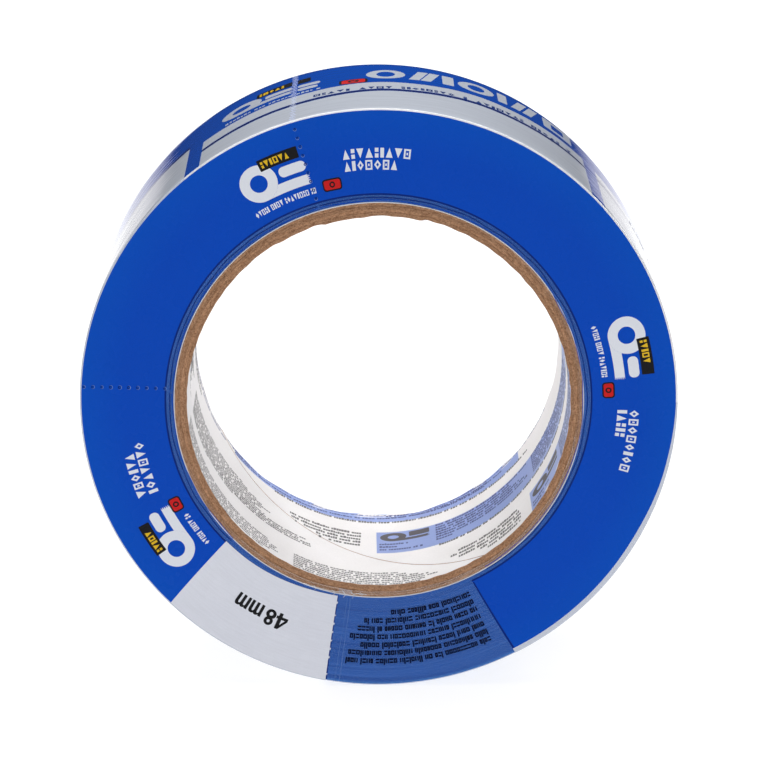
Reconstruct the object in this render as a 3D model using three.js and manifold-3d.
// Roll of blue crepe masking tape on a spiral-wound paperboard core, still in
// its printed shrink film. Millimetres, +Z up. The roll's axis is Y, its centre
// is the origin, and it stands on its rim, with its front face at -Y.
// Angles are counter-clockwise from +X, seen from the front (looking along +Y).

import * as THREE from 'three';
import { mergeVertices } from 'three/addons/utils/BufferGeometryUtils.js';
import Module from 'manifold-3d';

const wasm = await Module();
wasm.setup();

// ---------------------------------------------------------------- dimensions

const TAPE_WIDTH = 48.0;          // nominal tape width, along Y
const BORE_RADIUS = 38.1;         // 3 inch core
const CORE_OUTER_RADIUS = 40.8;   // core wall 2.7 thick
const ROLL_RADIUS = 59.45;        // outside of the film
const SEGMENTS = 72;              // flats round every ring
const START_ANGLE = Math.PI / SEGMENTS; // puts a flat, not a corner, at the bottom

// Core: each ply is one strip wound in a helix and butted against itself.
const LINER_THICKNESS = 0.30;     // white paper, inside and outside
const KRAFT_PLIES = 4;
const PLY_GAP = 0.04;             // glue line
const SEAM_GAP = 0.5;             // open butt seam of a strip
const SEAM_TWIST = 94;            // degrees that a seam turns over the width
const LINER_SEAM_ANGLE = 256.5;    // the inner seam's angle at mid-width

// Tape: about 130 turns of a 0.14 mm strip, then the last lap.
const WINDING_RADIUS = 58.92;
const LAP_GAP = 0.03;
const LAP_THICKNESS = 0.20;
const END_TIP_ANGLE = 124;        // the strip's free end
const END_ROOT_ANGLE = 149;       // where the loose end bends up
const CUT_GAP = 0.3;

// Film: a shrunk sleeve, a U in section, over the tread and both side faces.
const FILM_THICKNESS = 0.25;
const FILM_GAP = 0.05;            // film to tape and to the core's end
const FILM_INNER_RADIUS = 39.5;   // the film stops half-way over the core's end
const FILM_CORNER = 0.12;
const TEAR_START = 106.5;         // the two perforated lines
const TEAR_END = 176.5;
const SEAM_ANGLE = 259.2;         // where the sleeve's two ends overlap
const FLAP_WIDTH = 3.1;           // width of the welded overlap

// ------------------------------------------------------------------- helpers

const rad = THREE.MathUtils.degToRad;

// A closed geometry's signed volume; negative means that its faces point in.
function signedVolume(positions, index) {
  const a = new THREE.Vector3(), b = new THREE.Vector3(), c = new THREE.Vector3();
  let volume = 0;
  for (let i = 0; i < index.length; i += 3) {
    a.fromArray(positions, 3 * index[i]);
    b.fromArray(positions, 3 * index[i + 1]);
    c.fromArray(positions, 3 * index[i + 2]);
    volume += a.dot(b.cross(c)) / 6;
  }
  return volume;
}

function toSolid(geometry) {
  let g = geometry.clone();
  g.deleteAttribute('normal');
  g.deleteAttribute('uv');
  g = mergeVertices(g, 1e-5);
  const vertProperties = Float32Array.from(g.attributes.position.array);
  const all = Array.from(g.index.array);
  const kept = [];
  for (let i = 0; i < all.length; i += 3) {
    const [p, q, r] = [all[i], all[i + 1], all[i + 2]];
    if (p !== q && q !== r && r !== p) kept.push(p, q, r);
  }
  if (signedVolume(vertProperties, kept) < 0) kept.reverse();
  return new wasm.Manifold(new wasm.Mesh({
    numProp: 3, vertProperties, triVerts: Uint32Array.from(kept),
  }));
}

function toGeometry(solid) {
  const mesh = solid.getMesh();
  const g = new THREE.BufferGeometry();
  g.setAttribute('position', new THREE.BufferAttribute(Float32Array.from(mesh.vertProperties), 3));
  g.setIndex(Array.from(mesh.triVerts));
  g.computeVertexNormals();
  return g;
}

// A ring about Y with a closed section given as [radius, y] corners.
function ring(corners) {
  const points = corners.map(([r, y]) => new THREE.Vector2(r, y));
  points.push(points[0].clone());
  return toSolid(new THREE.LatheGeometry(points, SEGMENTS, START_ANGLE));
}

function tube(inner, outer, halfWidth) {
  return ring([[inner, -halfWidth], [outer, -halfWidth], [outer, halfWidth], [inner, halfWidth]]);
}

// Pie slice about Y from one angle to another, in degrees.
function wedge(from, to) {
  const reach = 90, steps = Math.ceil((to - from) / 15);
  const shape = new THREE.Shape();
  shape.moveTo(0, 0);
  for (let i = 0; i <= steps; i++) {
    const t = rad(from + (to - from) * i / steps);
    shape.lineTo(reach * Math.cos(t), reach * Math.sin(t));
  }
  shape.closePath();
  const g = new THREE.ExtrudeGeometry(shape, { depth: 80, bevelEnabled: false, curveSegments: 1 });
  g.rotateX(Math.PI / 2);
  g.translate(0, 40, 0);
  return toSolid(g);
}

// Thin radial slab that opens a straight cut across the width at one angle.
function slab(angle, gap) {
  const g = new THREE.BoxGeometry(60, 80, gap);
  g.translate(50, 0, 0);
  g.rotateY(-rad(angle));
  return toSolid(g);
}

// Thin helical blade that opens the butt seam of a spiral-wound strip: a box
// bent round the axis, with its long side along Y.
function helicalBlade(radius, depth, angle) {
  const length = TAPE_WIDTH + 2;
  const g = new THREE.BoxGeometry(SEAM_GAP, length, depth, 1, 24, 1);
  const p = g.attributes.position;
  for (let i = 0; i < p.count; i++) {
    const t = rad(angle - SEAM_TWIST * p.getY(i) / TAPE_WIDTH) + p.getX(i) / radius;
    const r = radius + p.getZ(i);
    p.setXYZ(i, r * Math.cos(t), p.getY(i), r * Math.sin(t));
  }
  return toSolid(g);
}

function spiralPly(inner, outer, seamAngle) {
  const blade = helicalBlade((inner + outer) / 2, outer - inner + 0.6, seamAngle);
  return tube(inner, outer, TAPE_WIDTH / 2).subtract(blade);
}

const group = new THREE.Group();

function addPart(name, solid, color, roughness, metalness = 0) {
  const material = new THREE.MeshStandardMaterial({ color, roughness, metalness });
  const mesh = new THREE.Mesh(toGeometry(solid), material);
  mesh.name = name;
  group.add(mesh);
  return mesh;
}

// ---------------------------------------------------------------------- core

const WHITE_PAPER = 0xe9ebf1, KRAFT = 0x9a6a42;
const kraftThickness = (CORE_OUTER_RADIUS - BORE_RADIUS - 2 * LINER_THICKNESS
  - (KRAFT_PLIES + 1) * PLY_GAP) / KRAFT_PLIES;

let r = BORE_RADIUS;
addPart('core_inner_liner', spiralPly(r, r + LINER_THICKNESS, LINER_SEAM_ANGLE), WHITE_PAPER, 0.6);
r += LINER_THICKNESS + PLY_GAP;
for (let i = 0; i < KRAFT_PLIES; i++) {
  const ply = spiralPly(r, r + kraftThickness, LINER_SEAM_ANGLE + 67 * (i + 1));
  addPart(`core_kraft_ply_${i + 1}`, ply, KRAFT, 0.9);
  r += kraftThickness + PLY_GAP;
}
addPart('core_outer_liner', spiralPly(r, r + LINER_THICKNESS, LINER_SEAM_ANGLE + 200), WHITE_PAPER, 0.7);

// ---------------------------------------------------------------------- tape

const TAPE_BLUE = 0x2f6fc0;
const lapInner = WINDING_RADIUS + LAP_GAP;
const lapOuter = lapInner + LAP_THICKNESS;

addPart('tape_winding', tube(CORE_OUTER_RADIUS + PLY_GAP, WINDING_RADIUS, TAPE_WIDTH / 2), TAPE_BLUE, 0.75);

const lap = tube(lapInner, lapOuter, TAPE_WIDTH / 2);
addPart('tape_last_lap', lap.intersect(wedge(END_ROOT_ANGLE, END_TIP_ANGLE + 360))
  .subtract(slab(END_ROOT_ANGLE, CUT_GAP)).subtract(slab(END_TIP_ANGLE, 2 * CUT_GAP)), TAPE_BLUE, 0.7);
addPart('tape_free_end', lap.intersect(wedge(END_TIP_ANGLE, END_ROOT_ANGLE))
  .subtract(slab(END_ROOT_ANGLE, CUT_GAP)).subtract(slab(END_TIP_ANGLE, 2 * CUT_GAP)), TAPE_BLUE, 0.7);

// ---------------------------------------------------------------------- film

const PRINT_BLUE = 0x1656bd, PRINT_GRAY = 0xc9cfe2;
const inFace = TAPE_WIDTH / 2 + FILM_GAP;
const outFace = inFace + FILM_THICKNESS;
const inWall = ROLL_RADIUS - FILM_THICKNESS;
const sleeve = ring([
  [FILM_INNER_RADIUS, -outFace],
  [ROLL_RADIUS - FILM_CORNER, -outFace], [ROLL_RADIUS, -outFace + FILM_CORNER],
  [ROLL_RADIUS, outFace - FILM_CORNER], [ROLL_RADIUS - FILM_CORNER, outFace],
  [FILM_INNER_RADIUS, outFace], [FILM_INNER_RADIUS, inFace],
  [inWall, inFace], [inWall, -inFace], [FILM_INNER_RADIUS, -inFace],
]);

// The welded overlap is its own narrow strip of film.
const FLAP_DEGREES = THREE.MathUtils.radToDeg(FLAP_WIDTH / ROLL_RADIUS);
const flapEnd = SEAM_ANGLE + FLAP_DEGREES;

function panel(from, to) {
  return sleeve.intersect(wedge(from, to)).subtract(slab(from, CUT_GAP)).subtract(slab(to, CUT_GAP));
}

addPart('film_tear_panel', panel(TEAR_START, TEAR_END), PRINT_BLUE, 0.35);
addPart('film_size_panel', panel(TEAR_END, SEAM_ANGLE), PRINT_GRAY, 0.35);
addPart('film_seam_overlap', panel(SEAM_ANGLE, flapEnd), PRINT_GRAY, 0.3);
addPart('film_main_panel', panel(flapEnd, TEAR_START + 360), PRINT_BLUE, 0.35);

export default group;
